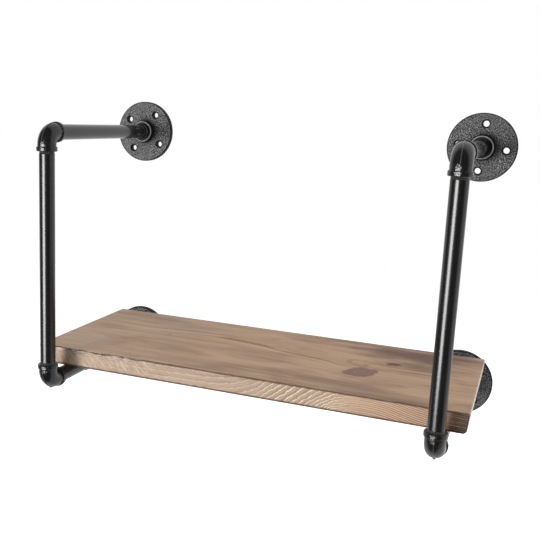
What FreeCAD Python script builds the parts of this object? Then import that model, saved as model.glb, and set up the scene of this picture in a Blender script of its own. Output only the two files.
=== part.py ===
import FreeCAD, Part
import os
from math import atan2, cos, degrees, radians, sin

from FreeCAD import Placement, Rotation, Vector

# A wall shelf: two threaded pipe frames carry one wooden board on their lower arms.
# Millimetres. X runs along the board, +Y goes to the wall and Z is up. The origin lies on the
# wall, midway between the frames, at the height of the lower arms.

# Frames
frame_spacing = 538.0       # from one upright's axis to the other's
reach = 290.0               # from the wall to an upright's axis
arm_rise = 349.5            # from a lower arm's axis to the upper arm's

# Pipe, half-inch
pipe_od = 21.3
pipe_bore = 16.0
pipe_chamfer = 1.0
thread_depth = 11.5         # how far a pipe screws into a fitting
thread_clearance = 0.2      # around the pipe, where the threads are not modelled

# Cast elbows
bend_radius = 17.0          # at the middle of the elbow's body
elbow_straight = 8.5        # from the end of the bend to a mouth
elbow_od = 25.4
elbow_waterway = 18.0       # bore between the two sockets
band_od = 28.4              # raised ring around each mouth
band_length = 6.5
band_mouth_round = 1.2
mouth_chamfer = 0.8         # lead-in of every socket
seam_height = 0.7           # ridge left where the halves of the mould met
seam_width = 1.4
gate_diameter = 3.0         # stub left where the iron ran in, on the lower elbows
gate_height = 1.4
gate_angle = 70.0           # degrees round the bend from the upright's front

# Cast wall flanges
flange_od = 97.0
flange_thickness = 7.5
flange_edge_round = 1.2
flange_waterway = 18.0
hub_od = 33.0
hub_rise = 9.5              # from the plate to the hub's mouth
hub_flare = 4.0             # hollow curve between the hub and the plate
hub_edge_round = 1.4
hole_circle = 67.0
hole_diameter = 8.5
hole_count = 4
hole_chamfer = 1.4
hole_turn = {               # degrees from +X, as each flange came tight on its thread
    "left_upper": 54.5,
    "left_lower": 45.0,
    "right_upper": 85.0,
    "right_lower": 43.5,
}

# Board
board_thickness = 25.8
board_overhang = 35.0       # past each upright's axis
board_front_gap = 3.5       # to the elbows' bands
board_back_gap = 0.5        # to the foot of the flanges' hubs
board_corner_round = 3.0
board_edge_round = 1.5
seat_gap = 0.2              # under the board on the hubs, and under a bar on its arm

# Bars that keep the board level on the lower arms, the straps that hold them, and their screws
bar_corner_round = 3.0
bar_edge_round = 0.6
strap_thickness = 1.5
strap_width = 16.0
strap_clearance = 0.2       # around the pipe
strap_bend = 1.2            # inside radius where an ear leaves the side
ear_length = 15.0
ear_corner = 5.0
ear_hole_offset = 8.5       # from the strap's side to the screw's axis
ear_hole_clearance = 0.4
front_strap_setback = 75.0  # from the board's front edge
rear_strap_setback = 40.0   # from the board's back edge
screw_diameter = 4.0
screw_length = 22.0
screw_tip = 4.0
screw_head_diameter = 8.0
screw_head_height = 2.6
screw_head_edge = 0.8
pilot_clearance = 0.15
pilot_spare_depth = 1.5

# Sizes that follow
pipe_radius = pipe_od / 2
socket_radius = pipe_radius + thread_clearance
elbow_length = bend_radius + elbow_straight
elbow_stop = elbow_length - thread_depth    # shoulder where a pipe ends in an elbow
hub_length = flange_thickness + hub_rise
hub_stop = hub_length - thread_depth        # shoulder where an arm ends in a flange
board_underside = hub_od / 2 + seat_gap     # the back of the board lies on the lower hubs
bar_underside = pipe_radius + seat_gap
bar_thickness = board_underside - bar_underside
board_front = -(reach - elbow_length - board_front_gap)
board_back = -(flange_thickness + hub_flare + board_back_gap)
board_length = frame_spacing + 2 * board_overhang
strap_inner = pipe_radius + strap_clearance
strap_outer = strap_inner + strap_thickness
ear_underside = bar_underside - strap_thickness
ear_tip = strap_outer + ear_length
screw_offset = strap_outer + ear_hole_offset

SIDES = {"left": -frame_spacing / 2, "right": frame_spacing / 2}
LEVELS = {"lower": 0.0, "upper": arm_rise}
STRAP_ROWS = {"front": board_front + front_strap_setback, "rear": board_back - rear_strap_setback}

X_AXIS = Vector(1, 0, 0)
Y_AXIS = Vector(0, 1, 0)
Z_AXIS = Vector(0, 0, 1)
ORIGIN = Vector(0, 0, 0)
tiny = 1e-6                 # lengths below this count as none


def arc(centre, radius, start, end):
    """The middle and the end of an arc about centre, between two angles in degrees."""
    def at(angle):
        return (centre[0] + radius * cos(radians(angle)), centre[1] + radius * sin(radians(angle)))
    return at((start + end) / 2), at(end)


def outline(start, *steps):
    """A closed face in the XZ plane. A step is a corner, or an arc's middle and end."""
    edges = []
    here = Vector(start[0], 0, start[1])
    for step in steps + (start,):
        points = [Vector(p[0], 0, p[1]) for p in (step if isinstance(step[0], tuple) else (step,))]
        if (points[-1] - here).Length < tiny:
            continue
        curve = Part.LineSegment(here, points[0]) if len(points) == 1 else Part.Arc(here, *points)
        edges.append(curve.toShape())
        here = points[-1]
    return Part.Face(Part.Wire(edges))


def turned(face):
    """A solid of revolution about Z."""
    return face.revolve(ORIGIN, Z_AXIS, 360)


def placed(shape, position, direction=Z_AXIS):
    """A copy of a shape with its Z axis along direction and its origin at position."""
    copy = shape.copy()
    copy.Placement = Placement(position, Rotation(Z_AXIS, direction))
    return copy


def pipe(length):
    """A pipe from z = 0 to its length, with chamfered ends."""
    edge = pipe_radius - pipe_chamfer
    return turned(outline(
        (pipe_bore / 2, 0), (edge, 0), (pipe_radius, pipe_chamfer),
        (pipe_radius, length - pipe_chamfer), (edge, length), (pipe_bore / 2, length)))


def elbow_mouth():
    """The outside of one end of an elbow along Z, from the bend to its banded mouth."""
    body = elbow_od / 2
    band = band_od / 2
    step = band - body
    band_start = elbow_length - band_length
    round_height = elbow_length - band_mouth_round
    return turned(outline(
        (0, bend_radius), (body, bend_radius), (body, band_start),
        arc((body, band_start + step), step, -90, 0), (band, round_height),
        arc((band - band_mouth_round, round_height), band_mouth_round, 0, 90), (0, elbow_length)))


def elbow_socket():
    """The space inside one end of an elbow, down to the shoulder that stops the pipe."""
    lead_in = socket_radius + mouth_chamfer
    return turned(outline(
        (0, elbow_stop), (socket_radius, elbow_stop), (socket_radius, elbow_length - mouth_chamfer),
        (lead_in, elbow_length), (0, elbow_length)))


def seam():
    """The mould's parting ridge, from band to band on the elbow's middle plane."""
    body = elbow_od / 2 + seam_height
    leg = Part.makeCylinder(body, elbow_length - band_length - bend_radius, Vector(0, 0, bend_radius))
    depth = elbow_length + body
    slab = Part.makeBox(seam_width, 2 * depth, 2 * depth, Vector(-seam_width / 2, -depth, -depth))
    return bent_and_ended(2 * body, leg).common(slab)


def gate():
    """The rough stub where the iron was poured, standing on the outside of the bend."""
    outwards = Vector(0, -cos(radians(gate_angle)), -sin(radians(gate_angle)))
    root = Vector(0, bend_radius, bend_radius) + outwards * (bend_radius + elbow_od / 4)
    length = elbow_od / 4 + gate_height
    return placed(Part.makeCone(gate_diameter, gate_diameter / 2, length), root, outwards)


def bent_and_ended(diameter, end):
    """A quarter turn from +Z to +Y with a round section, and the same end fused to both sides."""
    section = Part.Face(Part.Wire(Part.makeCircle(diameter / 2, Vector(0, 0, bend_radius))))
    bend = section.revolve(Vector(0, bend_radius, bend_radius), X_AXIS, 90)
    return bend.fuse([end, placed(end, ORIGIN, Y_AXIS)])


def elbow(*marks):
    """An elbow with its corner at the origin, its sockets along +Z and +Y, and its casting marks."""
    casting = bent_and_ended(elbow_od, elbow_mouth()).fuse(list(marks))
    return casting.cut(bent_and_ended(elbow_waterway, elbow_socket())).removeSplitter()


def flange(first_hole):
    """A wall flange on the XY plane with its hub along +Z and its first hole at an angle."""
    rim = flange_od / 2
    hub = hub_od / 2
    hub_shoulder = hub_length - hub_edge_round
    rim_shoulder = flange_thickness - flange_edge_round
    foot = hub + hub_flare
    flare_top = flange_thickness + hub_flare
    casting = turned(outline(
        (flange_waterway / 2, 0), (rim, 0), (rim, rim_shoulder),
        arc((rim - flange_edge_round, rim_shoulder), flange_edge_round, 0, 90),
        (foot, flange_thickness), arc((foot, flare_top), hub_flare, 270, 180),
        (hub, hub_shoulder), arc((hub - hub_edge_round, hub_shoulder), hub_edge_round, 0, 90),
        (socket_radius + mouth_chamfer, hub_length), (socket_radius, hub_length - mouth_chamfer),
        (socket_radius, hub_stop), (flange_waterway / 2, hub_stop)))
    holes = []
    for number in range(hole_count):
        angle = radians(first_hole + number * 360 / hole_count)
        spot = Vector(cos(angle), sin(angle), 0) * (hole_circle / 2)
        holes.append(Part.makeCylinder(hole_diameter / 2, flange_thickness, spot))
        holes.append(Part.makeCone(hole_diameter / 2, hole_diameter / 2 + hole_chamfer, hole_chamfer,
                                   spot + Z_AXIS * (flange_thickness - hole_chamfer)))
    return casting.cut(holes)


def board():
    """The shelf board with eased edges and the pilot holes of the strap screws."""
    depth = board_back - board_front
    plank = Part.makeBox(board_length, depth, board_thickness,
                         Vector(-board_length / 2, board_front, board_underside))
    corners = [edge for edge in plank.Edges if edge.BoundBox.ZLength > tiny]
    plank = plank.makeFillet(board_corner_round, corners)
    arrises = [edge for edge in plank.Edges if edge.BoundBox.ZLength < tiny]
    plank = plank.makeFillet(board_edge_round, arrises)
    pilot_depth = screw_length - strap_thickness - bar_thickness + pilot_spare_depth
    pilots = [Part.makeCylinder(screw_diameter / 2 + pilot_clearance, pilot_depth, spot)
              for spot in screw_spots(board_underside)]
    return plank.cut(pilots)


def screw_hole(height, length):
    """The clearance holes of one strap's pair of screws, upwards from a height."""
    radius = screw_diameter / 2 + ear_hole_clearance
    return [Part.makeCylinder(radius, length, Vector(side * screw_offset, 0, height)) for side in (-1, 1)]


def bar():
    """A flat bar across a pipe along Y, as long as the strap below it."""
    plate = Part.makeBox(2 * ear_tip, strap_width, bar_thickness, Vector(-ear_tip, -strap_width / 2, bar_underside))
    plate = plate.makeFillet(bar_corner_round, [edge for edge in plate.Edges if edge.BoundBox.ZLength > tiny])
    plate = plate.makeFillet(bar_edge_round, [edge for edge in plate.Edges if edge.BoundBox.ZLength < tiny])
    return plate.cut(screw_hole(bar_underside, bar_thickness))


def strap():
    """A two-hole strap under a pipe along Y, centred on the origin, with its ears upwards."""
    fold = strap_bend + strap_thickness
    fold_top = bar_underside - fold
    tip = ear_tip
    root = strap_outer + strap_bend
    band = outline(
        (-tip, bar_underside), (-root, bar_underside),
        arc((-root, fold_top), fold, 90, 0), (-strap_inner, 0),
        ((0, -strap_inner), (strap_inner, 0)), (strap_inner, fold_top),
        arc((root, fold_top), fold, 180, 90), (tip, bar_underside), (tip, ear_underside),
        (root, ear_underside), arc((root, fold_top), strap_bend, 90, 180), (strap_outer, 0),
        ((0, -strap_outer), (-strap_outer, 0)), (-strap_outer, fold_top),
        arc((-root, fold_top), strap_bend, 0, 90), (-tip, ear_underside))
    body = band.extrude(Y_AXIS * strap_width)
    body.translate(Y_AXIS * (-strap_width / 2))
    ends = [edge for edge in body.Edges
            if abs(abs(edge.CenterOfMass.x) - tip) < tiny and edge.BoundBox.YLength < tiny]
    body = body.makeFillet(ear_corner, ends)
    return body.cut(screw_hole(ear_underside, strap_thickness))


def screw():
    """A pan-head screw along +Z, with its head's bearing face at z = 0."""
    head = screw_head_diameter / 2
    shank = screw_diameter / 2
    rise = screw_head_height - screw_head_edge
    dome = (rise ** 2 + head ** 2) / (2 * rise)
    edge_angle = degrees(atan2(rise - dome, head))
    return turned(outline(
        (0, -screw_head_height), arc((0, dome - screw_head_height), dome, -90, edge_angle), (head, 0),
        (shank, 0), (shank, screw_length - screw_tip), (0, screw_length)))


def screw_spots(height):
    """Where the strap screws' axes pass a height."""
    return [Vector(x + side * screw_offset, y, height)
            for x in SIDES.values() for y in STRAP_ROWS.values() for side in (-1, 1)]


def build():
    """Every piece in its place, by node name."""
    nodes = {}
    arm = pipe(reach - elbow_stop - hub_stop)
    upright = pipe(arm_rise - 2 * elbow_stop)
    lower_elbow = elbow(seam(), gate())
    upper_elbow = elbow(seam())
    upper_elbow.rotate(ORIGIN, Y_AXIS, 180)
    fittings = {"lower": lower_elbow, "upper": upper_elbow}
    holder = strap()
    packer = bar()
    for side, x in SIDES.items():
        nodes[f"{side}_upright"] = placed(upright, Vector(x, -reach, elbow_stop))
        for level, z in LEVELS.items():
            plate = flange(hole_turn[f"{side}_{level}"])
            plate.rotate(ORIGIN, X_AXIS, 90)
            plate.translate(Vector(x, 0, z))
            nodes[f"{side}_{level}_flange"] = plate
            nodes[f"{side}_{level}_arm"] = placed(arm, Vector(x, elbow_stop - reach, z), Y_AXIS)
            corner = fittings[level].copy()
            corner.translate(Vector(x, -reach, z))
            nodes[f"{side}_{level}_elbow"] = corner
        for row, y in STRAP_ROWS.items():
            nodes[f"{side}_{row}_strap"] = placed(holder, Vector(x, y, 0))
            nodes[f"{side}_{row}_bar"] = placed(packer, Vector(x, y, 0))
    nodes["shelf_board"] = board()
    fastener = screw()
    nodes["strap_screws"] = Part.makeCompound([placed(fastener, spot) for spot in screw_spots(ear_underside)])
    return nodes


os.makedirs("parts", exist_ok=True)
for name, shape in build().items():
    print(f"{name}: {len(shape.Solids)} solid(s), {shape.Volume / 1000:.1f} cm3, valid {shape.isValid()}")
    shape.exportStep(f"parts/{name}.step")
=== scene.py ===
from math import pi, radians

import bmesh
import bpy
from mathutils import Matrix, Vector, noise


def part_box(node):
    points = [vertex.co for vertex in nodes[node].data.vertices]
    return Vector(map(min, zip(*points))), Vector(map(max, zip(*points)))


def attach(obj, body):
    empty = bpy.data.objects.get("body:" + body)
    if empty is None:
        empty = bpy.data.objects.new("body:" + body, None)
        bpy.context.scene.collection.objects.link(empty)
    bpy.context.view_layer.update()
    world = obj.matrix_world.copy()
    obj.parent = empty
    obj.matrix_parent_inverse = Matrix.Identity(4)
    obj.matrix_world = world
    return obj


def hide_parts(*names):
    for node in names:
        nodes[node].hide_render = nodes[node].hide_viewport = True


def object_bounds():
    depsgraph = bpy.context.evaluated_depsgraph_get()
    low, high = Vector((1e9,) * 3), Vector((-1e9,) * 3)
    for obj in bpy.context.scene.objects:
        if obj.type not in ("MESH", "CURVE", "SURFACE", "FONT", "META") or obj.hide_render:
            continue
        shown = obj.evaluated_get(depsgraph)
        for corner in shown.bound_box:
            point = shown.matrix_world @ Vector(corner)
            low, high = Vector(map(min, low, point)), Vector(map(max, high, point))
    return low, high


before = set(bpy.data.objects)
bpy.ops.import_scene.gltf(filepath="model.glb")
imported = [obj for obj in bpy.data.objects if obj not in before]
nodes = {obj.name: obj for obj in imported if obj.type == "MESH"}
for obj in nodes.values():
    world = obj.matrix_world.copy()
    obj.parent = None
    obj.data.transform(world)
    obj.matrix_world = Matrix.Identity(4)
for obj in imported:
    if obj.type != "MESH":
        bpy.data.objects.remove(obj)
cadLow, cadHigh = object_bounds()
scene = bpy.context.scene
mm = 0.001
axisX, axisY, axisZ = range(3)
print("frame loaded:", len(nodes), "CAD nodes")


# Small helpers for node trees

noiseMiddle = 0.5
noiseSpan = (0.3, 0.7)          # most of a noise lies between these


def feed(tree, socket, value):
    if isinstance(value, bpy.types.NodeSocket):
        tree.links.new(value, socket)
    elif socket.type == "RGBA":
        socket.default_value = (*value, 1.0)
    else:
        socket.default_value = value


def addNode(tree, kind, inputs=None, **settings):
    made = tree.nodes.new("ShaderNode" + kind)
    for name, value in settings.items():
        setattr(made, name, value)
    for name, value in (inputs or {}).items():
        feed(tree, made.inputs[name], value)
    return made


def calc(tree, operation, *values):
    made = addNode(tree, "Math", operation=operation)
    for socket, value in zip(made.inputs, values):
        feed(tree, socket, value)
    return made.outputs[0]


def plus(tree, first, second):
    return calc(tree, "ADD", first, second)


def minus(tree, first, second):
    return calc(tree, "SUBTRACT", first, second)


def times(tree, first, *others):
    for other in others:
        first = calc(tree, "MULTIPLY", first, other)
    return first


def apart(tree, first, second):
    return calc(tree, "ABSOLUTE", minus(tree, first, second))


def squares(tree, first, second):
    return calc(tree, "MULTIPLY_ADD", first, first, times(tree, second, second))


def diagonal(tree, first, second):
    return calc(tree, "SQRT", squares(tree, first, second))


def swayed(tree, value, sway, amount):
    return calc(tree, "MULTIPLY_ADD", minus(tree, sway, noiseMiddle), amount, value)


def fade(tree, value, start, end, low=0.0, high=1.0):
    sizes = {"Value": value, "From Min": start, "From Max": end, "To Min": low, "To Max": high}
    return addNode(tree, "MapRange", sizes, interpolation_type="SMOOTHSTEP").outputs[0]


def within(tree, value, start, end, soft):
    opened = fade(tree, value, start, start + soft)
    return times(tree, opened, fade(tree, value, end, end - soft))


def splitAxes(tree, vector):
    return addNode(tree, "SeparateXYZ", {"Vector": vector}).outputs


def facingAxes(tree):
    normal = addNode(tree, "TexCoord").outputs["Normal"]
    return splitAxes(tree, addNode(tree, "VectorMath", {0: normal}, operation="ABSOLUTE").outputs[0])


def speckle(tree, vector, scale, detail=2.0, roughness=0.5, distortion=0.0):
    sizes = {"Vector": vector, "Scale": scale, "Detail": detail, "Roughness": roughness}
    sizes["Distortion"] = distortion
    return addNode(tree, "TexNoise", sizes).outputs[0]


def stretched(tree, x, y, z, sizes, detail, roughness):
    scaled = [times(tree, value, size) for value, size in zip((x, y, z), sizes)]
    vector = addNode(tree, "CombineXYZ", dict(zip("XYZ", scaled))).outputs[0]
    return speckle(tree, vector, 1.0, detail, roughness)


def lineOver(tree, value, points):
    # the height of a smooth line through a few points, over a value that runs between the outer ones
    start, end = points[0][0], points[-1][0]
    heights = [height for at, height in points]
    low = min(heights)
    span = max(heights) - low
    places = [((at - start) / (end - start), (height - low) / span) for at, height in points]
    made = addNode(tree, "FloatCurve")
    spots = made.mapping.curves[0].points
    spots[0].location = places[0]
    spots[1].location = places[-1]
    for place in places[1:-1]:
        spots.new(*place)
    made.mapping.update()
    share = calc(tree, "MULTIPLY_ADD", value, 1.0 / (end - start), -start / (end - start))
    feed(tree, made.inputs["Value"], share)
    return calc(tree, "MULTIPLY_ADD", made.outputs[0], span, low)


def blendColour(tree, factor, first, second):
    made = addNode(tree, "Mix", data_type="RGBA")
    for index, value in ((0, factor), (6, first), (7, second)):     # the sockets for colours
        feed(tree, made.inputs[index], value)
    return made.outputs[2]


def raised(tree, height, depth, under=None):
    sizes = {"Height": height, "Strength": 1.0, "Distance": depth}
    if under is not None:
        sizes["Normal"] = under
    return addNode(tree, "Bump", sizes).outputs[0]


def newMaterial(name):
    made = bpy.data.materials.new(name)
    made.use_nodes = True
    tree = made.node_tree
    place = addNode(tree, "TexCoord").outputs["Object"]
    return made, tree, tree.nodes["Principled BSDF"], place


# Camera: found from the outlines of the pipes, the flanges and the board

cameraFit = {
    "location": (0.3518, -1.20025, 0.37887),
    "yaw": 21.65, "pitch": -11.17, "roll": 2.19,    # degrees
    "focalPixels": 790.52, "middlePixels": (221.36, 272.67), "imagePixels": 540,
}


def addCamera(fit):
    data = bpy.data.cameras.new("photoCamera")
    size = fit["imagePixels"]
    data.sensor_fit = "HORIZONTAL"
    data.lens = fit["focalPixels"] / size * data.sensor_width
    data.shift_x = 0.5 - fit["middlePixels"][0] / size
    data.shift_y = fit["middlePixels"][1] / size - 0.5
    camera = bpy.data.objects.new("photoCamera", data)
    scene.collection.objects.link(camera)
    turn = Matrix.Rotation(radians(fit["yaw"]), 4, "Z")
    turn = turn @ Matrix.Rotation(radians(90 + fit["pitch"]), 4, "X")
    turn = turn @ Matrix.Rotation(radians(fit["roll"]), 4, "Z")
    camera.matrix_world = Matrix.Translation(fit["location"]) @ turn
    scene.camera = camera


addCamera(cameraFit)
scene.view_settings.view_transform = "Standard"
print("camera placed")


# Studio: a white room with a dark front, soft lights from the left, above and the right, and a pale floor

white = (1.0, 1.0, 1.0)
room = {
    "darkSide": (-0.137, -0.980, 0.14), "whiteAt": -0.05, "darkAt": 0.15, "darkLevel": 0.10,    # for gloss
    "fill": 0.085,              # for matt surfaces
}
floorLook = {
    "below": 0.42, "low": (-3.0, -1.1), "high": (3.0, 2.5),
    "tones": ((0.85, 0.85, 0.85), (0.8245, 0.8245, 0.8245)), "mottle": 3.0, "roughness": 0.9, "lift": 0.9,
}
keyLight = {                    # degrees, metres and watts, here and below
    "azimuth": -37.0, "tilt": 0.0, "distance": 3.5, "rise": 0.05,
    "width": 1.05, "height": 1.4, "watts": 104.0,
}
topLight = {
    "azimuth": 0.0, "tilt": 80.0, "distance": 1.8, "rise": 0.0,
    "width": 2.4, "height": 2.0, "watts": 23.5,
}
sideLight = {
    "azimuth": 96.0, "tilt": 8.0, "distance": 2.6, "rise": 0.0,
    "width": 1.6, "height": 2.0, "watts": 55.0,
}
glossLight = {
    "azimuth": -20.0, "tilt": 0.0, "distance": 6.0, "rise": -0.5,
    "width": 3.2, "height": 3.5, "watts": 655.0,
}


def lightRoom(look):
    world = bpy.data.worlds.new("whiteRoom")
    world.use_nodes = True
    scene.world = world
    tree = world.node_tree
    direction = addNode(tree, "TexCoord").outputs["Generated"]
    towards = addNode(tree, "VectorMath", {0: direction, 1: look["darkSide"]}, operation="DOT_PRODUCT")
    level = fade(tree, towards.outputs["Value"], look["whiteAt"], look["darkAt"], 1.0, look["darkLevel"])
    path = addNode(tree, "LightPath").outputs
    mirrored = calc(tree, "MAXIMUM", path["Is Glossy Ray"], path["Is Transmission Ray"])
    share = calc(tree, "MULTIPLY_ADD", mirrored, minus(tree, level, look["fill"]), look["fill"])
    background = tree.nodes["Background"].inputs
    feed(tree, background["Color"], white)
    feed(tree, background["Strength"], calc(tree, "MAXIMUM", share, path["Is Camera Ray"]))


def floorPaint(name, look):
    material, tree, shader, place = newMaterial(name)
    tone = blendColour(tree, speckle(tree, place, look["mottle"]), *look["tones"])
    direct = addNode(tree, "LightPath").outputs["Is Camera Ray"]
    feed(tree, shader.inputs["Base Color"], tone)
    feed(tree, shader.inputs["Roughness"], look["roughness"])
    feed(tree, shader.inputs["Emission Color"], white)
    feed(tree, shader.inputs["Emission Strength"], times(tree, direct, look["lift"]))
    below = times(tree, addNode(tree, "NewGeometry").outputs["Backfacing"], direct)
    clear = addNode(tree, "BsdfTransparent").outputs[0]
    seen = addNode(tree, "MixShader", {0: below, 1: shader.outputs[0], 2: clear}).outputs[0]
    feed(tree, tree.nodes["Material Output"].inputs["Surface"], seen)
    return material


def layFloor(look):
    low = Vector((*look["low"], cadLow.z - look["below"]))
    high = Vector((*look["high"], cadLow.z - look["below"]))
    bm = bmesh.new()
    bmesh.ops.create_grid(bm, x_segments=1, y_segments=1, size=0.5)
    bmesh.ops.scale(bm, vec=high - low, verts=bm.verts)
    bmesh.ops.translate(bm, vec=(low + high) / 2, verts=bm.verts)
    mesh = bpy.data.meshes.new("studioFloor")
    bm.to_mesh(mesh)
    bm.free()
    mesh.materials.append(floorPaint("paleFloor", look))
    floor = bpy.data.objects.new("studioFloor", mesh)
    scene.collection.objects.link(floor)
    floor.visible_glossy = False        # gloss sees the room behind it, as on a wall far above the floor


def hangLight(name, look):
    data = bpy.data.lights.new(name, "AREA")
    data.shape = "RECTANGLE"
    data.size = look["width"]
    data.size_y = look["height"]
    data.energy = look["watts"]
    light = bpy.data.objects.new(name, data)
    scene.collection.objects.link(light)
    turn = Matrix.Rotation(radians(look["azimuth"]), 3, "Z") @ Matrix.Rotation(radians(-look["tilt"]), 3, "X")
    away = turn @ Vector((0, -1, 0))
    light.location = (cadLow + cadHigh) / 2 + away * look["distance"] + Vector((0, 0, look["rise"]))
    light.rotation_euler = (-away).to_track_quat("-Z", "Y").to_euler()
    return light


lightRoom(room)
layFloor(floorLook)
hangLight("keyLight", keyLight).visible_glossy = False
hangLight("topLight", topLight).visible_glossy = False
hangLight("sideLight", sideLight).visible_glossy = False
hangLight("glossLight", glossLight).visible_diffuse = False
print("studio lit")


# Black finishes of pipes, elbows, straps and screws

pipePaint = {
    "tones": ((0.005, 0.005, 0.0055), (0.010, 0.010, 0.011)), "mottle": 24.0, "roughness": (0.23, 0.25),
    "lumps": 90.0, "lumpDepth": 0.012 * mm, "grain": 500.0, "grainDepth": 0.002 * mm,
    "glossier": (-0.26, -0.16, 1.0, 0.5),       # Y, from the uprights back along the arms
}
threadSteel = {
    "tones": ((0.02, 0.019, 0.018), (0.06, 0.058, 0.055)), "mottle": 300.0, "roughness": (0.3, 0.5),
    "lumps": 500.0, "lumpDepth": 0.05 * mm, "grain": 1800.0, "grainDepth": 0.03 * mm,
}
elbowIron = {
    "tones": ((0.004, 0.004, 0.0045), (0.009, 0.009, 0.010)), "mottle": 60.0, "roughness": (0.19, 0.27),
    "lumps": 400.0, "lumpDepth": 0.6 * mm, "lumpZone": (4.0 * mm, 16.0 * mm, 0.04, 1.0),
    "grain": 900.0, "grainDepth": 0.012 * mm,
    # ridge: the tone and widths of a painted highlight along the mould ridge
    "ridge": (0.060, 0.060, 0.062), "ridgeHalf": (1.0 * mm, 0.3 * mm),
}
strapSteel = {
    "tones": ((0.012, 0.012, 0.013), (0.024, 0.024, 0.025)), "mottle": 80.0, "roughness": (0.28, 0.42),
    "lumps": 160.0, "lumpDepth": 0.03 * mm, "grain": 1300.0, "grainDepth": 0.02 * mm,
}
screwSteel = {
    "tones": ((0.014, 0.014, 0.015), (0.030, 0.030, 0.031)), "mottle": 250.0, "roughness": (0.25, 0.40),
    "lumps": 600.0, "lumpDepth": 0.03 * mm, "grain": 2000.0, "grainDepth": 0.015 * mm,
}


def besideBands(tree, place, zone):
    # bands lie off the corner where upright and arm would meet; all four corners are folded into one
    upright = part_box("right_upright")
    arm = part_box("right_upper_arm")
    cornerY = (upright[0].y + upright[1].y) / 2
    halfRise = (arm[0].z + arm[1].z) / 4
    axes = splitAxes(tree, place)
    alongArm = minus(tree, axes["Y"], cornerY)
    alongUpright = minus(tree, halfRise, apart(tree, axes["Z"], halfRise))
    return fade(tree, calc(tree, "MAXIMUM", alongArm, alongUpright), *zone)


def ridgeHighlightMask(tree, place, half):
    # a painted highlight along the ridge where the halves of the mould met, in the middle plane of each frame
    low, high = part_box("right_upright")
    across = calc(tree, "ABSOLUTE", splitAxes(tree, place)["X"])
    return fade(tree, apart(tree, across, (low.x + high.x) / 2), *half)


def blackFinish(name, look):
    material, tree, shader, place = newMaterial(name)
    patches = speckle(tree, place, look["mottle"], detail=3.0, roughness=0.6)
    tone = blendColour(tree, patches, *look["tones"])
    # a painted highlight along the elbows' mould ridge
    if "ridge" in look:
        tone = blendColour(tree, ridgeHighlightMask(tree, place, look["ridgeHalf"]), tone, look["ridge"])
    roughness = fade(tree, patches, *noiseSpan, *look["roughness"])
    if "glossier" in look:
        roughness = times(tree, roughness, fade(tree, splitAxes(tree, place)["Y"], *look["glossier"]))
    lumps = speckle(tree, place, look["lumps"], detail=1.0)
    if "lumpZone" in look:
        lumps = times(tree, lumps, besideBands(tree, place, look["lumpZone"]))
    lumpy = raised(tree, lumps, look["lumpDepth"])
    grain = speckle(tree, place, look["grain"])
    feed(tree, shader.inputs["Base Color"], tone)
    feed(tree, shader.inputs["Roughness"], roughness)
    feed(tree, shader.inputs["Normal"], raised(tree, grain, look["grainDepth"], lumpy))
    return material


pipeMaterial = blackFinish("pipePaint", pipePaint)
threadMaterial = blackFinish("threadSteel", threadSteel)
elbowMaterial = blackFinish("elbowIron", elbowIron)
strapMaterial = blackFinish("strapSteel", strapSteel)
screwMaterial = blackFinish("screwSteel", screwSteel)


# Sand-cast skin of the flanges: pale grains on black, and black on the faces that turn sideways

flangeIron = {
    "pit": (0.010, 0.010, 0.0105), "skin": (0.112, 0.112, 0.114), "worn": (0.52, 0.52, 0.525),
    # bright is the tone of a painted highlight on the hub's front edge
    "blackAndShade": (0.005, 0.005, 0.0055), "bright": (0.33, 0.33, 0.335), "roughness": (0.42, 0.60), "shine": 0.13,
    "grain": 680.0, "fineGrain": 1300.0, "cloud": 28.0, "grainDepth": 0.45 * mm, "fineDepth": 0.10 * mm,
    "skinShare": (0.42, 0.56), "wornShare": (0.51, 0.63), "wornClouds": (0.35, 0.65, 0.5, 1.0),
    "flat": (0.70, 0.97),
    "holeCircle": 67.0 * mm, "holes": 4, "holeRing": (7.3 * mm, 5.9 * mm), "rimBand": (-1.9 * mm, -0.9 * mm),
    "hub": 33.0 * mm, "hubBand": (-0.4 * mm, -2.2 * mm),
    "ringInset": 0.6 * mm, "ringWidth": 1.3 * mm, "ringFront": (1.8 * mm, 0.6 * mm),
    # a painted shade beside the hub, in the black tone: how far it reaches, how it leans upwards and which
    # side it lies on
    "paintedShadeBand": (14.0 * mm, 0.5 * mm), "paintedShadeRise": 0.5, "paintedShadeSide": (-0.3, 1.0, 0.42, 0.92),
}
firstHoles = {                  # degrees from +X
    "left_upper": 54.5, "left_lower": 45.0, "right_upper": 85.0, "right_lower": 43.5,
}


def bandBy(tree, value, edge, band):
    return fade(tree, value, edge + band[0], edge + band[1])


def castGrain(tree, grain, cloud, look):
    tone = blendColour(tree, fade(tree, grain, *look["skinShare"]), look["pit"], look["skin"])
    worn = times(tree, fade(tree, grain, *look["wornShare"]), fade(tree, cloud, *look["wornClouds"]))
    tone = blendColour(tree, worn, tone, look["worn"])
    return blendColour(tree, fade(tree, facingAxes(tree)["Y"], *look["flat"]), look["blackAndShade"], tone)


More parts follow.
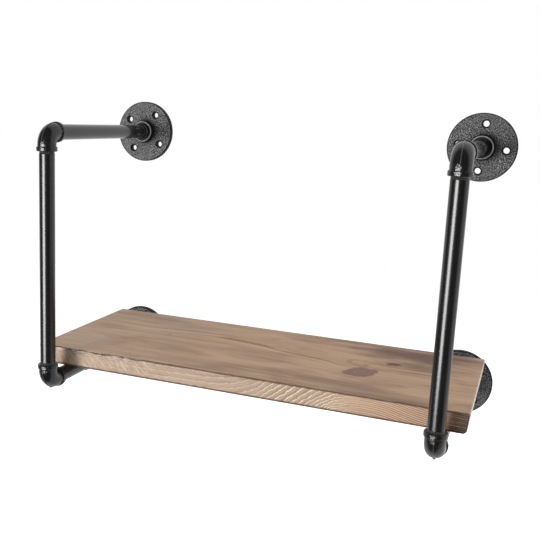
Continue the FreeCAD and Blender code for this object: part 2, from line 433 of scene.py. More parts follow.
def castSkin(name, look, node, firstHole):
    material, tree, shader, place = newMaterial(name)
    grain = speckle(tree, place, look["grain"], detail=4.0, roughness=0.7, distortion=0.2)
    fine = speckle(tree, place, look["fineGrain"])
    cloud = speckle(tree, place, look["cloud"])
    tone = castGrain(tree, grain, cloud, look)

    # distances from the flange's axis and from the nearest hole
    low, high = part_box(node)
    centre = (low + high) / 2
    rimRadius = (high - low).x / 2
    hubRadius = look["hub"] / 2
    axes = splitAxes(tree, place)
    offX = minus(tree, axes["X"], centre.x)
    offZ = minus(tree, axes["Z"], centre.z)
    fromAxis = diagonal(tree, offX, offZ)
    angle = minus(tree, calc(tree, "ARCTAN2", offZ, offX), radians(firstHole))
    angle = calc(tree, "WRAP", angle, pi / look["holes"], -pi / look["holes"])
    holeX = minus(tree, times(tree, fromAxis, calc(tree, "COSINE", angle)), look["holeCircle"] / 2)
    holeZ = times(tree, fromAxis, calc(tree, "SINE", angle))

    # the tone is darker round the holes, along the rim and in the hub; beside the hub lies a painted shade
    # where the elbow's shadow falls
    darkerAndShaded = fade(tree, diagonal(tree, holeX, holeZ), *look["holeRing"])
    darkerAndShaded = calc(tree, "MAXIMUM", darkerAndShaded, bandBy(tree, fromAxis, rimRadius, look["rimBand"]))
    darkerAndShaded = calc(tree, "MAXIMUM", darkerAndShaded, bandBy(tree, fromAxis, hubRadius, look["hubBand"]))
    # painted shade, strongest to the upper right of the hub, where the elbow and arm cast their shadow
    side = calc(tree, "DIVIDE", calc(tree, "MULTIPLY_ADD", offZ, look["paintedShadeRise"], offX), fromAxis)
    paintedShade = bandBy(tree, fromAxis, hubRadius, look["paintedShadeBand"])
    paintedShade = times(tree, paintedShade, fade(tree, side, *look["paintedShadeSide"]))
    darkerAndShaded = calc(tree, "MAXIMUM", darkerAndShaded, paintedShade)
    tone = blendColour(tree, darkerAndShaded, tone, look["blackAndShade"])

    # a painted highlight on the hub's rounded front edge
    hubEdgeHighlight = fade(tree, apart(tree, fromAxis, hubRadius - look["ringInset"]), look["ringWidth"], 0.0)
    hubEdgeHighlight = times(tree, hubEdgeHighlight, bandBy(tree, axes["Y"], low.y, look["ringFront"]))
    tone = blendColour(tree, hubEdgeHighlight, tone, look["bright"])

    feed(tree, shader.inputs["Base Color"], tone)
    feed(tree, shader.inputs["Roughness"], fade(tree, cloud, *noiseSpan, *look["roughness"]))
    feed(tree, shader.inputs["Specular IOR Level"], look["shine"])
    coarse = raised(tree, grain, look["grainDepth"])
    feed(tree, shader.inputs["Normal"], raised(tree, fine, look["fineDepth"], coarse))
    return material


# Stained softwood: places in millimetres on the board's own axes

boardWood = {
    "pale": (0.605, 0.420, 0.286), "mid": (0.505, 0.330, 0.224), "brown": (0.25, 0.142, 0.092),
    "cream": (0.655, 0.475, 0.340), "grey": (0.56, 0.425, 0.325), "plum": (0.170, 0.102, 0.079),
    "line": (0.235, 0.108, 0.056), "knot": (0.25, 0.155, 0.125), "knotRim": (0.15, 0.085, 0.060),
    "edge": (0.525, 0.385, 0.290), "peach": (0.68, 0.455, 0.305), "edgeLine": (1.0, 0.82, 0.57),
    # edgeDeepAndShadow is the streaks' dark wood, and also paints the right upright's shadow
    "edgeDark": (0.22, 0.125, 0.075), "edgeDeepAndShadow": (0.16, 0.085, 0.050),
    "endGrain": (0.60, 0.53, 0.455), "endRing": (0.44, 0.34, 0.265),
    "arris": (0.085, 0.036, 0.024), "splinter": (0.64, 0.53, 0.46),
    "pithDepth": 95.0, "pithSide": -118.0, "ringStep": 6.5,
    "topFacing": (0.55, 0.85), "endFacing": (0.60, 0.90),
    "roughness": (0.52, 0.70), "shine": 0.2, "fibreDepth": 0.12 * mm,
}


def fromPith(tree, across, z, look):
    return diagonal(tree, minus(tree, across, look["pithSide"]), plus(tree, z, look["pithDepth"]))


# The board's top, and its underside alike

knots = [
    {"at": (150.0, -163.0), "half": (19.5, 20.5), "lean": 0.36, "push": 22.0, "heart": "knot"},
    {"at": (186.0, -106.0), "half": (8.0, 6.5), "lean": 0.5, "push": 8.0, "heart": "knotRim"},
]
knotLook = {
    "squareness": 3.0, "pushLength": 0.6, "pushCore": 0.5, "sway": 0.5,
    "heart": (1.02, 0.84), "rim": (0.78, 1.12, 0.16), "rimStrength": 0.45, "flecks": (0.56, 0.70, 0.0, 0.4),
    "raggedNoise": ((0.14, 0.14, 0.0), 2.0, 0.5), "fleckNoise": ((0.32, 0.32, 0.0), 2.0, 0.5),
}
grainPaths = {                  # Y over X
    "main": [(-304, -97), (-110, -99.5), (-60, -102), (-20, -108), (20, -119), (60, -127), (100, -137),
             (130, -147), (304, -150)],
    "upper": [(-304, -88), (-240, -95), (-200, -96), (-170, -93), (-140, -87), (-100, -83), (-50, -80),
              (50, -86), (304, -100)],
    "lower": [(-304, -142), (-270, -137), (-200, -127), (-80, -126), (-30, -121), (304, -117)],
    "behind": [(-304, -146), (172, -143), (185, -135), (200, -133), (304, -134)],
}
grainStreaks = [                # path, shift, half width, start, end, strength: below zero for a pale streak
    ("main", -7.0, 5.0, -75.0, 150.0, -0.55),
    ("upper", -9.0, 6.0, -290.0, -60.0, -0.40),
    ("main", 0.0, 3.0, -135.0, 150.0, 0.72),
    ("main", 3.0, 8.0, -95.0, 20.0, 0.68),
    ("upper", 0.0, 3.6, -300.0, -10.0, 0.50),
    ("lower", 0.0, 3.6, -320.0, -20.0, 0.45),
    ("behind", 0.0, 3.0, 160.0, 300.0, 0.55),
]
streakLook = {"sway": 6.0, "softEnd": 0.25}
featherLines = [                # X over Y, where the grain curls back above the big knot
    [(-240, 150), (-146, 150), (-132, 137), (-119, 125), (-112, 129), (-106, 148), (-102, 178), (0, 190)],
    [(-240, 152), (-140, 151), (-127, 151), (-119, 158), (-114, 174), (-109, 192), (0, 200)],
]
featherLook = {"line": (6.5, 0.0, 0.0, 0.42), "y": (-148.0, -98.0, 12.0), "fibres": (0.30, 0.60, 0.5, 1.0)}
tickMark = {"x": (-162.0, -158.0, 2.0), "y": (-128.0, -110.0, 4.0), "strength": 0.55}
# darker patches on the top; the first and strongest lies over the right back corner
darkPatches = [                # X, Y, half length, half width, strength
    (224.0, -54.0, 98.0, 76.0, 1.0),
    (140.0, -22.0, 80.0, 28.0, 0.45),
    (228.0, -80.0, 60.0, 44.0, 0.45),
    (-245.0, -44.0, 90.0, 36.0, 0.36),
    (45.0, -30.0, 60.0, 24.0, 0.32),
    (75.0, -13.0, 150.0, 13.0, 0.45),
    (-8.0, -160.0, 60.0, 40.0, 0.28),
    (-130.0, -172.0, 70.0, 44.0, 0.20),
    (130.0, -240.0, 170.0, 34.0, 0.56),
    (187.0, -106.0, 13.0, 9.0, 1.0),
    (-80.0, -236.0, 120.0, 22.0, 0.34),
]
patchLook = {"bandSway": -2.6, "cloudSway": -1.8, "rim": 1.2, "core": -0.4}
topLook = {
    "bendMiddle": -115.0, "bendReach": (75.0, 0.0), "bendLevel": -118.0,
    "ringSway": 1.6, "lateSharpness": 4.0, "lateStrength": 0.10,
    # shares: where they begin, where they are full and, if not 0 and 1, how strong they are there
    "bands": (0.25, 0.75), "smoke": (0.46, 0.74, 0.0, 0.42), "greyed": (40.0, -310.0, 0.0, 0.75),
    "greyClouds": (0.25, 0.6), "fibres": (0.44, 0.70, 0.0, 0.26), "hairs": (0.45, 0.75, 0.0, 0.16),
    # noises: waves per millimetre along each axis, detail and roughness
    "wobbleNoise": ((0.008, 0.05, 0.05), 3.0, 0.55), "bandNoise": ((0.007, 0.045, 0.045), 3.0, 0.6),
    "fibreNoise": ((0.012, 0.20, 0.3), 4.0, 0.75), "hairNoise": ((0.02, 1.1, 1.1), 3.0, 0.6),
    "cloudNoise": ((0.008, 0.016, 0.016), 2.0, 0.55), "smokeNoise": ((0.010, 0.028, 0.028), 3.0, 0.6),
}


def knotShape(tree, x, y, knot, look):
    # a value that is 1 on the knot's rim, and how far the grain is pushed aside
    besideX = minus(tree, x, knot["at"][0])
    besideY = minus(tree, y, knot["at"][1])
    leaning = calc(tree, "MULTIPLY_ADD", besideY, -knot["lean"], besideX)
    powers = []
    for value, half in zip((leaning, besideY), knot["half"]):
        share = calc(tree, "ABSOLUTE", calc(tree, "DIVIDE", value, half))
        powers.append(calc(tree, "POWER", share, look["squareness"]))
    rim = calc(tree, "POWER", plus(tree, *powers), 1.0 / look["squareness"])
    push = knot["push"] ** 2
    spread = times(tree, besideX, besideX, look["pushLength"])
    spread = calc(tree, "MULTIPLY_ADD", besideY, besideY, spread)
    pushed = calc(tree, "DIVIDE", besideY, plus(tree, spread, look["pushCore"] * push))
    return rim, times(tree, pushed, -push)


def addDarkPatches(tree, colour, x, y, bands, cloud, tone):
    for at, beside, length, width, strength in darkPatches:
        offX = calc(tree, "DIVIDE", minus(tree, x, at), length)
        offY = calc(tree, "DIVIDE", minus(tree, y, beside), width)
        spot = swayed(tree, squares(tree, offX, offY), bands, patchLook["bandSway"])
        spot = swayed(tree, spot, cloud, patchLook["cloudSway"])
        share = fade(tree, spot, patchLook["rim"], patchLook["core"], 0.0, strength)
        colour = blendColour(tree, share, colour, tone)
    return colour


def addStreaks(tree, colour, x, y, paths, wobble, look):
    for path, shift, halfWidth, start, end, strength in grainStreaks:
        gap = minus(tree, minus(tree, y, shift), paths[path])
        gap = swayed(tree, gap, wobble, streakLook["sway"])
        share = fade(tree, calc(tree, "ABSOLUTE", gap), halfWidth, 0.0, 0.0, abs(strength))
        share = times(tree, share, within(tree, x, start, end, streakLook["softEnd"] * (end - start)))
        colour = blendColour(tree, share, colour, look["line"] if strength > 0 else look["cream"])
    return colour


def addFeathers(tree, colour, x, y, fibres, tone):
    for points in featherLines:
        share = fade(tree, apart(tree, x, lineOver(tree, y, points)), *featherLook["line"])
        share = times(tree, share, within(tree, y, *featherLook["y"]))
        share = times(tree, share, fade(tree, fibres, *featherLook["fibres"]))
        colour = blendColour(tree, share, colour, tone)
    return colour


def addKnots(tree, colour, x, y, z, rims, look):
    # grey brown, speckled, with a thin dark rim
    ragged = stretched(tree, x, y, z, *knotLook["raggedNoise"])
    flecks = fade(tree, stretched(tree, x, y, z, *knotLook["fleckNoise"]), *knotLook["flecks"])
    for knot, rim in zip(knots, rims):
        torn = swayed(tree, rim, ragged, knotLook["sway"])
        heart = blendColour(tree, flecks, look[knot["heart"]], look["mid"])
        colour = blendColour(tree, fade(tree, torn, *knotLook["heart"]), colour, heart)
        rimShare = times(tree, within(tree, torn, *knotLook["rim"]), knotLook["rimStrength"])
        colour = blendColour(tree, rimShare, colour, look["knotRim"])
    return colour


def topColour(tree, x, y, z, look):
    # the grain runs along X, bends with the main line and is pushed aside by the knots
    paths = {name: lineOver(tree, x, points) for name, points in grainPaths.items()}
    near = fade(tree, apart(tree, y, topLook["bendMiddle"]), *topLook["bendReach"])
    lane = minus(tree, y, times(tree, minus(tree, paths["main"], topLook["bendLevel"]), near))
    rims = []
    for knot in knots:
        rim, pushed = knotShape(tree, x, y, knot, knotLook)
        rims.append(rim)
        lane = plus(tree, lane, pushed)

    wobble, bands, fibres, hairs = [
        stretched(tree, x, lane, z, *topLook[name + "Noise"]) for name in ("wobble", "band", "fibre", "hair")]
    cloud, smoke = [stretched(tree, x, y, z, *topLook[name + "Noise"]) for name in ("cloud", "smoke")]
    ringTurn = times(tree, fromPith(tree, lane, z, look), 1.0 / look["ringStep"])
    ringTurn = calc(tree, "FRACT", calc(tree, "MULTIPLY_ADD", wobble, topLook["ringSway"], ringTurn))
    late = calc(tree, "POWER", ringTurn, topLook["lateSharpness"])

    colour = blendColour(tree, fade(tree, bands, *topLook["bands"]), look["pale"], look["mid"])
    colour = blendColour(tree, fade(tree, smoke, *topLook["smoke"]), colour, look["plum"])
    greyed = times(tree, fade(tree, x, *topLook["greyed"]), fade(tree, cloud, *topLook["greyClouds"]))
    colour = blendColour(tree, greyed, colour, look["grey"])
    colour = blendColour(tree, times(tree, late, topLook["lateStrength"]), colour, look["brown"])
    colour = blendColour(tree, fade(tree, fibres, *topLook["fibres"]), colour, look["brown"])
    colour = blendColour(tree, fade(tree, hairs, *topLook["hairs"]), colour, look["brown"])
    colour = addDarkPatches(tree, colour, x, y, bands, cloud, look["plum"])
    colour = addStreaks(tree, colour, x, y, paths, wobble, look)
    colour = addFeathers(tree, colour, x, y, fibres, look["line"])
    tick = times(tree, within(tree, x, *tickMark["x"]), within(tree, y, *tickMark["y"]), tickMark["strength"])
    colour = blendColour(tree, tick, colour, look["knotRim"])
    return addKnots(tree, colour, x, y, z, rims, look), fibres


# The board's long edges: they cut the rings at a slant, steep in the middle and flat towards the ends

edgeRise = [                    # height that a ring has climbed over X
    (-304, 4), (-170, 0), (-70, 1), (-16, 4), (23, 15), (51, 34), (109, 81), (128, 94), (148, 103),
    (173, 107), (255, 94), (304, 90),
]
edgeRings = [                   # count of rings over height less climb; they crowd where the count is steep
    (-100, -18.5), (-84, -13), (-72, -9), (-60, -6), (-42, -3), (-15, 0), (46, 8), (100, 15),
]
edgeLook = {
    "waves": 5.5, "fibres": (0.4, 0.75, 0.0, 0.30),
    "ringGap": (-82.0, -40.0, 3.0, 8.2), "lineAt": 0.5, "ringLine": (1.0, 0.15),
    "ringShade": (0.62, 1.0, 0.14), "shadeStrength": 0.45,
    "slanted": (22.0, 198.0, 40.0), "slantedStrength": 0.55,
    "lineFibres": (0.35, 0.65, 0.15, 0.6), "lineFade": (-230.0, -30.0, 0.25, 1.0),
    "right": (118.0, 178.0), "fineWaves": 1.2, "fineStep": 2.7, "fineLine": (0.1, 0.9, 0.4),
    "fineLean": -3.0, "fineFade": (30.0, 170.0, 0.30, 0.95),
    "left": (-40.0, -180.0), "sawMarks": (0.44, 0.62, 0.0, 0.30), "sawHairs": (0.50, 0.36, 0.0, 0.28),
    # the last part of the right end: dark wood streaks that also paint the right upright's shadow
    "streaksAndPaintedShadow": (268.0, 284.0), "lastStreaks": (0.62, 0.42, 0.20, 0.95), "lastRise": (4.0, -3.0, 1.0, 0.6),
    "footWaves": -1.5, "foot": (3.0, 0.9, 0.0, 0.92),
    "tears": (0.48, 0.40), "tearBand": (-6.0, -3.0), "tearLeft": (-80.0, -200.0, 0.25, 1.0),
    "waveNoise": ((0.16, 0.22, 0.0), 2.0, 0.5), "fibreNoise": ((0.012, 0.4, 0.5), 4.0, 0.65),
    "sawNoise": ((0.05, 0.2, 0.62), 2.0, 0.55), "streakNoise": ((0.03, 0.4, 0.55), 3.0, 0.7),
    "tearNoise": ((0.05, 0.5, 0.9), 3.0, 0.7),
}


def addRings(tree, colour, x, z, waves, climbed, fibres, field, look):
    # bright lines with a shade beside them on the left and in the middle, fine dark lines on the right
    turn = calc(tree, "FRACT", lineOver(tree, field, edgeRings))
    fromLine = apart(tree, turn, edgeLook["lineAt"])
    fromLine = times(tree, fromLine, fade(tree, field, *edgeLook["ringGap"]))
    right = fade(tree, x, *edgeLook["right"])
    slanted = within(tree, x, *edgeLook["slanted"])
    share = fade(tree, fibres, *edgeLook["lineFibres"])
    share = calc(tree, "MULTIPLY_ADD", slanted, edgeLook["slantedStrength"], share)
    share = times(tree, calc(tree, "MINIMUM", share, 1.0), minus(tree, 1.0, right))
    share = times(tree, share, fade(tree, x, *edgeLook["lineFade"]))
    line = times(tree, fade(tree, fromLine, *edgeLook["ringLine"]), share)
    shade = times(tree, within(tree, turn, *edgeLook["ringShade"]), share, edgeLook["shadeStrength"])
    colour = blendColour(tree, line, colour, look["edgeLine"])
    colour = blendColour(tree, shade, colour, look["edgeDark"])
    fineField = calc(tree, "MULTIPLY_ADD", waves, edgeLook["fineWaves"], climbed)
    fineTurn = calc(tree, "FRACT", calc(tree, "DIVIDE", fineField, edgeLook["fineStep"]))
    fineFade = fade(tree, calc(tree, "MULTIPLY_ADD", z, edgeLook["fineLean"], x), *edgeLook["fineFade"])
    fine = times(tree, within(tree, fineTurn, *edgeLook["fineLine"]), right, fineFade)
    return blendColour(tree, fine, colour, look["edgeDark"])


def addSawMarks(tree, colour, x, y, z, look):
    left = fade(tree, x, *edgeLook["left"])
    saw = stretched(tree, minus(tree, x, z), y, plus(tree, x, z), *edgeLook["sawNoise"])
    marks = times(tree, fade(tree, saw, *edgeLook["sawMarks"]), left)
    hairs = times(tree, fade(tree, saw, *edgeLook["sawHairs"]), left)
    colour = blendColour(tree, marks, colour, look["edgeDark"])
    return blendColour(tree, hairs, colour, look["edgeLine"])


def edgeColour(tree, x, y, z, low, high, look):
    fromFoot = minus(tree, z, low.z / mm)
    fromTop = minus(tree, z, high.z / mm)
    waves = stretched(tree, x, z, y, *edgeLook["waveNoise"])
    climbed = minus(tree, z, lineOver(tree, x, edgeRise))
    field = calc(tree, "MULTIPLY_ADD", waves, edgeLook["waves"], climbed)
    fibres = stretched(tree, x, y, field, *edgeLook["fibreNoise"])

    colour = blendColour(tree, fade(tree, x, *edgeLook["right"]), look["edge"], look["peach"])
    colour = blendColour(tree, fade(tree, fibres, *edgeLook["fibres"]), colour, look["edgeDark"])
    colour = addRings(tree, colour, x, z, waves, climbed, fibres, field, look)
    colour = addSawMarks(tree, colour, x, y, z, look)

    # dark streaks on the last part of the right end, which also paint the right upright's shadow there, and a
    # dark foot all along
    start, end, *strengths = edgeLook["lastRise"]
    streaks = fade(tree, stretched(tree, x, y, z, *edgeLook["streakNoise"]), *edgeLook["lastStreaks"])
    rising = fade(tree, fromFoot, start, (high.z - low.z) / mm + end, *strengths)
    streaksAndPaintedShadow = times(tree, streaks, fade(tree, x, *edgeLook["streaksAndPaintedShadow"]), rising)
    colour = blendColour(tree, streaksAndPaintedShadow, colour, look["edgeDeepAndShadow"])
    foot = fade(tree, calc(tree, "MULTIPLY_ADD", waves, edgeLook["footWaves"], fromFoot), *edgeLook["foot"])
    colour = blendColour(tree, foot, colour, look["arris"])

    # dark tears below the front arris, most of them on the left
    tears = fade(tree, stretched(tree, x, y, z, *edgeLook["tearNoise"]), *edgeLook["tears"])
    tears = times(tree, tears, fade(tree, fromTop, *edgeLook["tearBand"]))
    tears = times(tree, tears, fade(tree, x, *edgeLook["tearLeft"]))
    return blendColour(tree, tears, colour, look["arris"]), fibres


# The board's sawn ends and its arrises

endLook = {
    "ringSharpness": 3.0, "ringStrength": 0.6,
    "pores": (0.5, 0.75, 0.0, 0.4), "poreNoise": ((0.4, 0.9, 0.9), 3.0, 0.7),
}
arrisLook = {
    "round": (0.985, 0.88), "rubbed": (0.2, 0.6, 0.15, 0.65), "rightEnd": (286.0, 298.0, 1.0, 0.1),
    "corner": (286.0, 296.0, 0.0, 0.95), "cornerFacing": (0.5, 0.2),
    "backwards": 0.42, "downwards": (-60.0, -200.0, -1.3, -0.75), "rubbing": -1.6,
    "front": (1.9, -0.4, 0.0, 0.88), "frontTorn": (0.66, 0.42, 0.45, 1.0),
    "flecks": (7.0, 3.5), "fleckTorn": (0.50, 0.57), "fleckLeft": (-100.0, -170.0, 0.0, 0.9),
    "rubNoise": ((0.05, 0.1, 0.0), 3.0, 0.5), "tornNoise": ((0.07, 0.5, 0.6), 3.0, 0.7),
}


def endColour(tree, x, y, z, look):
    ringTurn = calc(tree, "FRACT", calc(tree, "DIVIDE", fromPith(tree, y, z, look), look["ringStep"]))
    arcs = times(tree, calc(tree, "POWER", ringTurn, endLook["ringSharpness"]), endLook["ringStrength"])
    pores = fade(tree, stretched(tree, x, y, z, *endLook["poreNoise"]), *endLook["pores"])
    colour = blendColour(tree, arcs, look["endGrain"], look["endRing"])
    return blendColour(tree, pores, colour, look["endRing"])


def addArrises(tree, colour, x, y, z, facing, low, high, look):
    # the stain lies dark on every arris; the right end's rounded corners are darker too
    rubbed = stretched(tree, x, y, z, *arrisLook["rubNoise"])
    flattest = calc(tree, "MAXIMUM", calc(tree, "MAXIMUM", facing["X"], facing["Y"]), facing["Z"])
    share = times(tree, fade(tree, rubbed, *arrisLook["rubbed"]), fade(tree, x, *arrisLook["rightEnd"]))
    corner = fade(tree, x, *arrisLook["corner"])
    corner = times(tree, corner, fade(tree, facing["Z"], *arrisLook["cornerFacing"]))
    share = times(tree, calc(tree, "MAXIMUM", share, corner), fade(tree, flattest, *arrisLook["round"]))
    colour = blendColour(tree, share, colour, look["arris"])

    # and darkest along the front, with pale splinters on the left
    overFront = minus(tree, y, low.y / mm)
    overTop = minus(tree, z, high.z / mm)
    torn = stretched(tree, x, y, z, *arrisLook["tornNoise"])
    down = times(tree, overTop, fade(tree, x, *arrisLook["downwards"]))
    nearFront = calc(tree, "MAXIMUM", times(tree, overFront, arrisLook["backwards"]), down)
    nearFront = calc(tree, "MULTIPLY_ADD", rubbed, arrisLook["rubbing"], nearFront)
    stained = fade(tree, nearFront, *arrisLook["front"])
    stained = times(tree, stained, fade(tree, torn, *arrisLook["frontTorn"]))
    colour = blendColour(tree, stained, colour, look["arris"])
    flecks = fade(tree, diagonal(tree, overFront, overTop), *arrisLook["flecks"])
    flecks = times(tree, flecks, fade(tree, torn, *arrisLook["fleckTorn"]))
    flecks = times(tree, flecks, fade(tree, x, *arrisLook["fleckLeft"]))
    return blendColour(tree, flecks, colour, look["splinter"])


def stainedWood(name, look):
    material, tree, shader, place = newMaterial(name)
    low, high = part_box("shelf_board")
    scaled = addNode(tree, "VectorMath", {0: place, "Scale": 1.0 / mm}, operation="SCALE").outputs[0]
    x, y, z = splitAxes(tree, scaled)
    facing = facingAxes(tree)
    top, topFibres = topColour(tree, x, y, z, look)
    edge, edgeFibres = edgeColour(tree, x, y, z, low, high, look)
    end = endColour(tree, x, y, z, look)
    colour = blendColour(tree, fade(tree, facing["Z"], *look["topFacing"]), edge, top)
    colour = blendColour(tree, fade(tree, facing["X"], *look["endFacing"]), colour, end)
    colour = addArrises(tree, colour, x, y, z, facing, low, high, look)
    fibres = calc(tree, "MAXIMUM", topFibres, edgeFibres)
    feed(tree, shader.inputs["Base Color"], colour)
    feed(tree, shader.inputs["Roughness"], fade(tree, fibres, *noiseSpan, *look["roughness"]))
    feed(tree, shader.inputs["Specular IOR Level"], look["shine"])
    feed(tree, shader.inputs["Normal"], raised(tree, fibres, look["fibreDepth"]))
    return material


woodMaterial = stainedWood("boardWood", boardWood)
print("finishes mixed:", len(bpy.data.materials))


# Making pieces

mergeDistance = 0.001 * mm


def axisVector(axis):
    return Vector([float(i == axis) for i in range(3)])


def spinProfile(bm, profile, steps, closed):
    # a profile of radii and heights, turned about Z
    verts = [bm.verts.new((radius, 0, height)) for radius, height in profile]
    following = verts[1:] + verts[:1] if closed else verts[1:]
    edges = [bm.edges.new(pair) for pair in zip(verts, following)]
    bmesh.ops.spin(bm, geom=verts + edges, cent=(0, 0, 0), axis=(0, 0, 1), angle=2 * pi,
                   steps=steps, use_merge=True)


def finishPiece(bm, name, materials, replaced, sharpAngle):
    bmesh.ops.remove_doubles(bm, verts=bm.verts, dist=mergeDistance)
    bmesh.ops.recalc_face_normals(bm, faces=bm.faces)
    for face in bm.faces:
        face.smooth = True
    for edge in bm.edges:
        edge.smooth = edge.calc_face_angle(0.0) < radians(sharpAngle)
    mesh = bpy.data.meshes.new(name)
    bm.to_mesh(mesh)
    bm.free()
    for material in materials:
        mesh.materials.append(material)
    piece = bpy.data.objects.new(name, mesh)
    scene.collection.objects.link(piece)
    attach(piece, "root")
    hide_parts(*replaced)


def dressNode(node, material):
    nodes[node].data.materials.clear()
    nodes[node].data.materials.append(material)


# Pipes: tubes with cut threads at both ends, a little of which shows outside the fittings

pipeShape = {
    "bore": 16.0 * mm, "boreMargin": 0.1 * mm, "steps": 80, "sharpAngle": 35.0,
    "threadPitch": 1.81 * mm, "threadDepth": 0.55 * mm, "threadLength": 14.5 * mm,
}


def makePipe(name, node, along, shape):
    low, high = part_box(node)
    length = (high - low)[along]
    radius = (high - low).x / 2
    boreRadius = shape["bore"] / 2
    pitch = shape["threadPitch"]
    root = radius - shape["threadDepth"]
    end = [(boreRadius, 0.0), (root, 0.0)]
    for turn in range(int(shape["threadLength"] / pitch)):
        end += [(radius, (turn + 0.5) * pitch), (root, (turn + 1) * pitch)]
    threadEnd = end[-1][1] + shape["threadDepth"]
    end.append((radius, threadEnd))
    bm = bmesh.new()
    spinProfile(bm, end + [(r, length - t) for r, t in reversed(end)], shape["steps"], closed=True)
    for face in bm.faces:
        middle = face.calc_center_median()
        threaded = not threadEnd < middle.z < length - threadEnd
        outside = middle.to_2d().length > boreRadius + shape["boreMargin"]
        face.material_index = int(threaded and outside)
    start = (low + high) / 2
    start[along] = low[along]
    turn = axisVector(axisZ).rotation_difference(axisVector(along)).to_matrix().to_4x4()
    bmesh.ops.transform(bm, matrix=Matrix.Translation(start) @ turn, verts=bm.verts)
    finishPiece(bm, name, [pipeMaterial, threadMaterial], [node], shape["sharpAngle"])


for side in ("left", "right"):
    makePipe(side + "UprightPipe", side + "_upright", axisZ, pipeShape)
    for level in ("upper", "lower"):
        makePipe(side + level.title() + "ArmPipe", f"{side}_{level}_arm", axisY, pipeShape)
        dressNode(f"{side}_{level}_elbow", elbowMaterial)
        flangeNode = f"{side}_{level}_flange"
        flangeName = side + level.title() + "FlangeIron"
        dressNode(flangeNode, castSkin(flangeName, flangeIron, flangeNode, firstHoles[f"{side}_{level}"]))
    for row in ("front", "rear"):
        dressNode(f"{side}_{row}_strap", strapMaterial)
        dressNode(f"{side}_{row}_bar", strapMaterial)
print("pipes cut and fittings dressed")


# Board: rounded corners and arrises, ends that slant inwards below, and splinters torn from the front arris

boardShape = {
    "corner": 3.0 * mm, "cornerSteps": 5, "arris": 1.3 * mm, "arrisSteps": 3, "sharpAngle": 60.0,
    "support": 3.2 * mm, "slice": 2.5 * mm, "endSteps": 10, "endZone": 14.0 * mm, "slant": 2.2 * mm,
    "underReach": 4.0 * mm, "underHeight": 5.0 * mm, "overReach": 1.0 * mm, "overHeight": 2.0 * mm,
    "chip": 1.6 * mm, "chipWave": 85.0, "chipSeed": (0.3, 0.7), "chipLeft": (-0.21, -0.12),
    "chipElsewhere": 0.3, "fineWave": 263.5, "fineSeed": (2.3, 1.7), "fineShare": 0.5,
}


def roundEdges(bm, edges, offset, steps):
    bmesh.ops.bevel(bm, geom=edges, offset=offset, affect="EDGES", segments=steps, profile=0.5, material=-1)


def sliceBoard(bm, low, high, shape):
    # cuts beside every arris, all along the board, and close together where the ends are rounded
    inner = shape["support"]
    cuts = [(place, axis) for axis in range(3) for place in (low[axis] + inner, high[axis] - inner)]
    length = high.x - low.x
    steps = int(length / shape["slice"])
    cuts += [(low.x + (step + 0.5) * length / steps, axisX) for step in range(2, steps - 2)]
    for step in range(1, shape["endSteps"]):
        part = (step / shape["endSteps"]) ** 2
        cuts += [(low.z + shape["underHeight"] * part, axisZ), (high.z - shape["overHeight"] * part, axisZ)]
    for place, axis in cuts:
        normal = axisVector(axis)
        everything = bm.verts[:] + bm.edges[:] + bm.faces[:]
        bmesh.ops.bisect_plane(bm, geom=everything, dist=mergeDistance,
                               plane_co=normal * place, plane_no=normal)


def slantEnds(bm, low, high, shape):
    middle = (low + high) / 2
    for vert in bm.verts:
        under = max(1.0 - (vert.co.z - low.z) / shape["underHeight"], 0.0)
        over = max(1.0 - (high.z - vert.co.z) / shape["overHeight"], 0.0)
        inwards = shape["slant"] * (high.z - vert.co.z) / (high.z - low.z)
        inwards += shape["underReach"] * (1.0 - (1.0 - under ** 2) ** 0.5)
        inwards += shape["overReach"] * (1.0 - (1.0 - over ** 2) ** 0.5)
        fromEnd = high.x - middle.x - abs(vert.co.x - middle.x)
        inwards *= max(1.0 - fromEnd / shape["endZone"], 0.0)
        vert.co.x -= inwards if vert.co.x > middle.x else -inwards


def tearFront(bm, low, high, shape):
    start, end = shape["chipLeft"]
    for vert in bm.verts:
        fromEdge = Vector((vert.co.y - low.y, high.z - vert.co.z)).length
        if fromEdge > shape["support"]:
            continue
        tear = noise.noise(Vector((vert.co.x * shape["chipWave"], *shape["chipSeed"])))
        tear += shape["fineShare"] * noise.noise(Vector((vert.co.x * shape["fineWave"], *shape["fineSeed"])))
        left = min(max((end - vert.co.x) / (end - start), shape["chipElsewhere"]), 1.0)
        depth = shape["chip"] * max(tear, 0.0) * left * (1.0 - fromEdge / shape["support"])
        vert.co += Vector((0.0, depth, -depth))


def makeBoard(name, node, shape):
    low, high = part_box(node)
    bm = bmesh.new()
    bmesh.ops.create_cube(bm, size=1.0)
    bmesh.ops.scale(bm, vec=high - low, verts=bm.verts)
    bmesh.ops.translate(bm, vec=(low + high) / 2, verts=bm.verts)
    corners = [edge for edge in bm.edges if abs(edge.verts[0].co.z - edge.verts[1].co.z) > shape["corner"]]
    roundEdges(bm, corners, shape["corner"], shape["cornerSteps"])
    rims = [edge for edge in bm.edges if abs(edge.verts[0].co.z - edge.verts[1].co.z) < shape["arris"]]
    roundEdges(bm, rims, shape["arris"], shape["arrisSteps"])
    sliceBoard(bm, low, high, shape)
    slantEnds(bm, low, high, shape)
    tearFront(bm, low, high, shape)
    finishPiece(bm, name, [woodMaterial], [node], shape["sharpAngle"])


makeBoard("stainedBoard", "shelf_board", boardShape)
print("board sawn")


# Strap screws: round heads with a cross recess, and turned threads

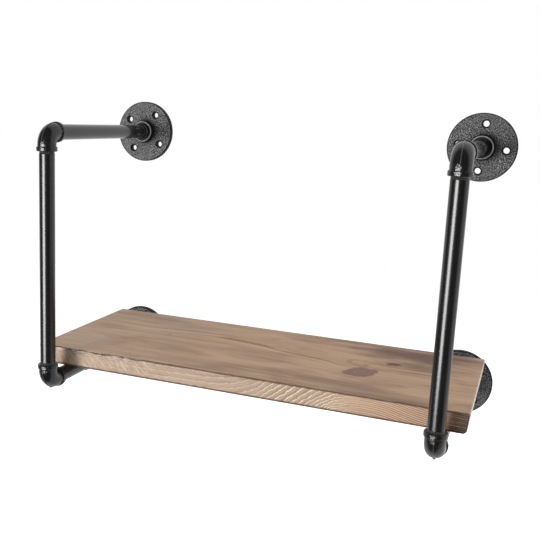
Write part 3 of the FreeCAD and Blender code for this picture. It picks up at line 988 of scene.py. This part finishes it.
screwShape = {
    "head": 4.0 * mm, "headHeight": 2.6 * mm, "flat": 2.9 * mm, "steps": 32, "sharpAngle": 30.0,
    "dome": [(0.9, 0.14), (1.0, 0.42), (1.0, 0.86), (0.94, 1.0)],       # shares of head and headHeight
    "shank": 2.0 * mm, "root": 1.45 * mm, "pitch": 1.8 * mm, "threadHalf": 0.36 * mm,
    "tip": 4.0 * mm, "point": 0.05 * mm, "turnApart": 0.9,
    "crossReach": 2.1 * mm, "crossHalf": 0.5 * mm, "crossDepth": 1.5 * mm, "crossTaper": 0.6,
}


def cutCross(bm, shape):
    # the recess hangs in the open ring of the head
    headRing = [edge for edge in bm.edges if edge.is_boundary]
    half, reach = shape["crossHalf"], shape["crossReach"]
    corners = []
    for quarter in range(4):
        turn = Matrix.Rotation(quarter * pi / 2, 3, "Z")
        corners += [turn @ Vector((x, y, 0)) for x, y in ((half, half), (half, reach), (-half, reach))]
    cross = [bm.verts.new(corner) for corner in corners]
    crossEdges = [bm.edges.new(pair) for pair in zip(cross, cross[1:] + cross[:1])]
    bmesh.ops.triangle_fill(bm, use_beauty=True, edges=headRing + crossEdges)
    walls = bmesh.ops.extrude_edge_only(bm, edges=crossEdges)["geom"]
    deep = [part for part in walls if isinstance(part, bmesh.types.BMVert)]
    bmesh.ops.scale(bm, vec=(shape["crossTaper"], shape["crossTaper"], 1.0), verts=deep)
    bmesh.ops.translate(bm, vec=(0.0, 0.0, shape["crossDepth"]), verts=deep)
    bmesh.ops.contextual_create(bm, geom=[edge for edge in bm.edges if set(edge.verts) <= set(deep)])


def makeScrew(length, shape):
    head, high = shape["head"], shape["headHeight"]
    profile = [(shape["flat"], 0.0)] + [(radius * head, at * high) for radius, at in shape["dome"]]
    profile.append((shape["shank"], high))
    for turn in range(int((length - shape["tip"] - high) / shape["pitch"])):
        at = high + (turn + 0.5) * shape["pitch"]
        below, above = at - shape["threadHalf"], at + shape["threadHalf"]
        profile += [(shape["root"], below), (shape["shank"], at), (shape["root"], above)]
    profile += [(shape["root"], length - shape["tip"]), (shape["point"], length)]
    bm = bmesh.new()
    spinProfile(bm, profile, shape["steps"], closed=False)
    tipRing = [edge for edge in bm.edges if edge.is_boundary and edge.verts[0].co.z > high]
    bmesh.ops.contextual_create(bm, geom=tipRing)
    cutCross(bm, shape)
    return bm


def setScrews(name, node, shape):
    low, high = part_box(node)
    pattern = makeScrew(high.z - low.z, shape)
    mesh = bpy.data.meshes.new("screwPattern")
    pattern.to_mesh(mesh)
    pattern.free()
    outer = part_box("right_front_strap")
    offset = high.x - shape["head"] - (outer[0].x + outer[1].x) / 2
    bm = bmesh.new()
    turned = 0.0
    for strap in [key for key in nodes if key.endswith("_strap")]:
        strapLow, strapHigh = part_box(strap)
        for way in (-1.0, 1.0):
            turned += shape["turnApart"]
            spot = (strapLow + strapHigh) / 2 + Vector((way * offset, 0.0, 0.0))
            before = set(bm.verts)
            bm.from_mesh(mesh)
            place = Matrix.Translation((spot.x, spot.y, low.z)) @ Matrix.Rotation(turned, 4, "Z")
            bmesh.ops.transform(bm, matrix=place, verts=[vert for vert in bm.verts if vert not in before])
    bpy.data.meshes.remove(mesh)
    finishPiece(bm, name, [screwMaterial], [node], shape["sharpAngle"])


setScrews("crossHeadScrews", "strap_screws", screwShape)
print("screws set")


print("scene built")
